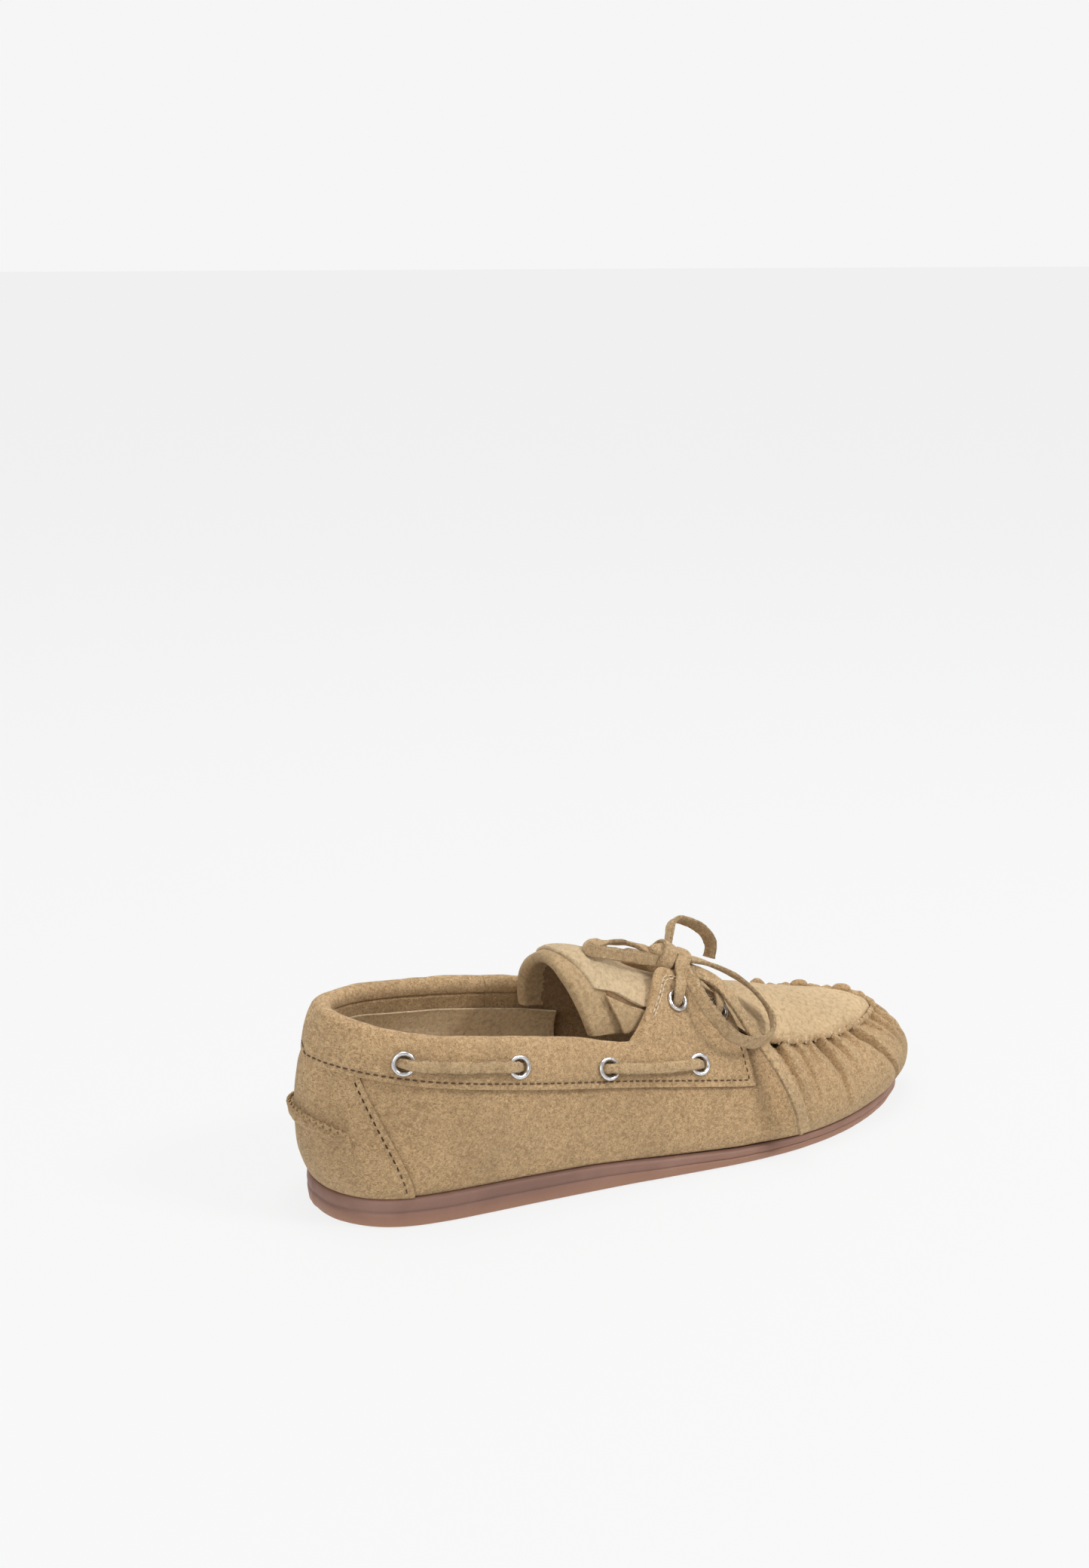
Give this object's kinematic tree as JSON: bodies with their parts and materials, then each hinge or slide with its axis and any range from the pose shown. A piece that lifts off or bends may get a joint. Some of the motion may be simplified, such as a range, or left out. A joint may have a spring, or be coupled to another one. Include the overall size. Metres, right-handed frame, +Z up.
{
  "type": "moccasin",
  "caption": "Low suede moccasin with a gathered apron toe, laced padded collar, arched tongue with a tied leather bow, and a thin rubber cup sole; right foot.",
  "frame": {"origin": "centre of the shoe's bounding box in plan, on the ground under the sole; free lace loops and ends left out", "axes": "+X heel to toe, +Y to the wearer's left (the medial side of a right shoe), +Z up"},
  "size_m": [0.2554, 0.0874, 0.0845],
  "materials": {
    "suede_tan": "napped suede",
    "suede_lining": "napped suede",
    "lace_leather": "napped suede strip",
    "gum_rubber": "satin",
    "insole_board": "fibre board",
    "foam": "open-cell foam",
    "nickel_plate": "polished",
    "thread": "waxed thread"
  },
  "bodies": {
    "shoe": {"apron": "suede_tan", "apron_seam_cord": "lace_leather", "collar_band_lateral": "suede_tan", "collar_band_medial": "suede_tan", "collar_band_thread": "thread", "collar_foam": "foam", "collar_lace": "lace_leather", "counter_thread_lateral": "thread", "counter_thread_medial": "thread", "eyelet_lateral_collar_1": "nickel_plate", "eyelet_lateral_collar_2": "nickel_plate", "eyelet_lateral_collar_3": "nickel_plate", "eyelet_lateral_collar_4": "nickel_plate", "eyelet_lateral_facing_front": "nickel_plate", "eyelet_lateral_facing_rear": "nickel_plate", "eyelet_medial_collar_1": "nickel_plate", "eyelet_medial_collar_2": "nickel_plate", "eyelet_medial_collar_3": "nickel_plate", "eyelet_medial_collar_4": "nickel_plate", "eyelet_medial_facing_front": "nickel_plate", "eyelet_medial_facing_rear": "nickel_plate", "facing_lining_lateral": "suede_lining", "facing_lining_medial": "suede_lining", "facing_thread_lateral": "thread", "facing_thread_medial": "thread", "heel_counter_cover": "suede_tan", "heel_stiffener": "insole_board", "heel_tab": "suede_tan", "insole_board": "insole_board", "lace_bar": "lace_leather", "lace_end_lateral": "lace_leather", "lace_end_medial": "lace_leather", "lace_knot": "lace_leather", "lace_loop_front": "lace_leather", "lace_loop_rear": "lace_leather", "lace_riser_lateral": "lace_leather", "lace_riser_medial": "lace_leather", "lace_under_lateral": "lace_leather", "lace_under_medial": "lace_leather", "outsole": "gum_rubber", "quarter_lining": "suede_lining", "sock_liner": "suede_lining", "vamp": "suede_tan"},
    "tongue_flap": {"tongue": "suede_tan", "tongue_foam": "foam", "tongue_lining": "suede_lining", "tongue_overlay": "suede_tan"}
  },
  "joints": [
    {"name": "tongue_flex", "type": "hinge", "parent": "shoe", "child": "tongue_flap", "pos_m": [0.02325, 0.00025, 0.056], "axis": [0, 1, 0], "range_deg": [-14, 2], "stiffness_Nm_per_rad": 0.25}
  ]
}
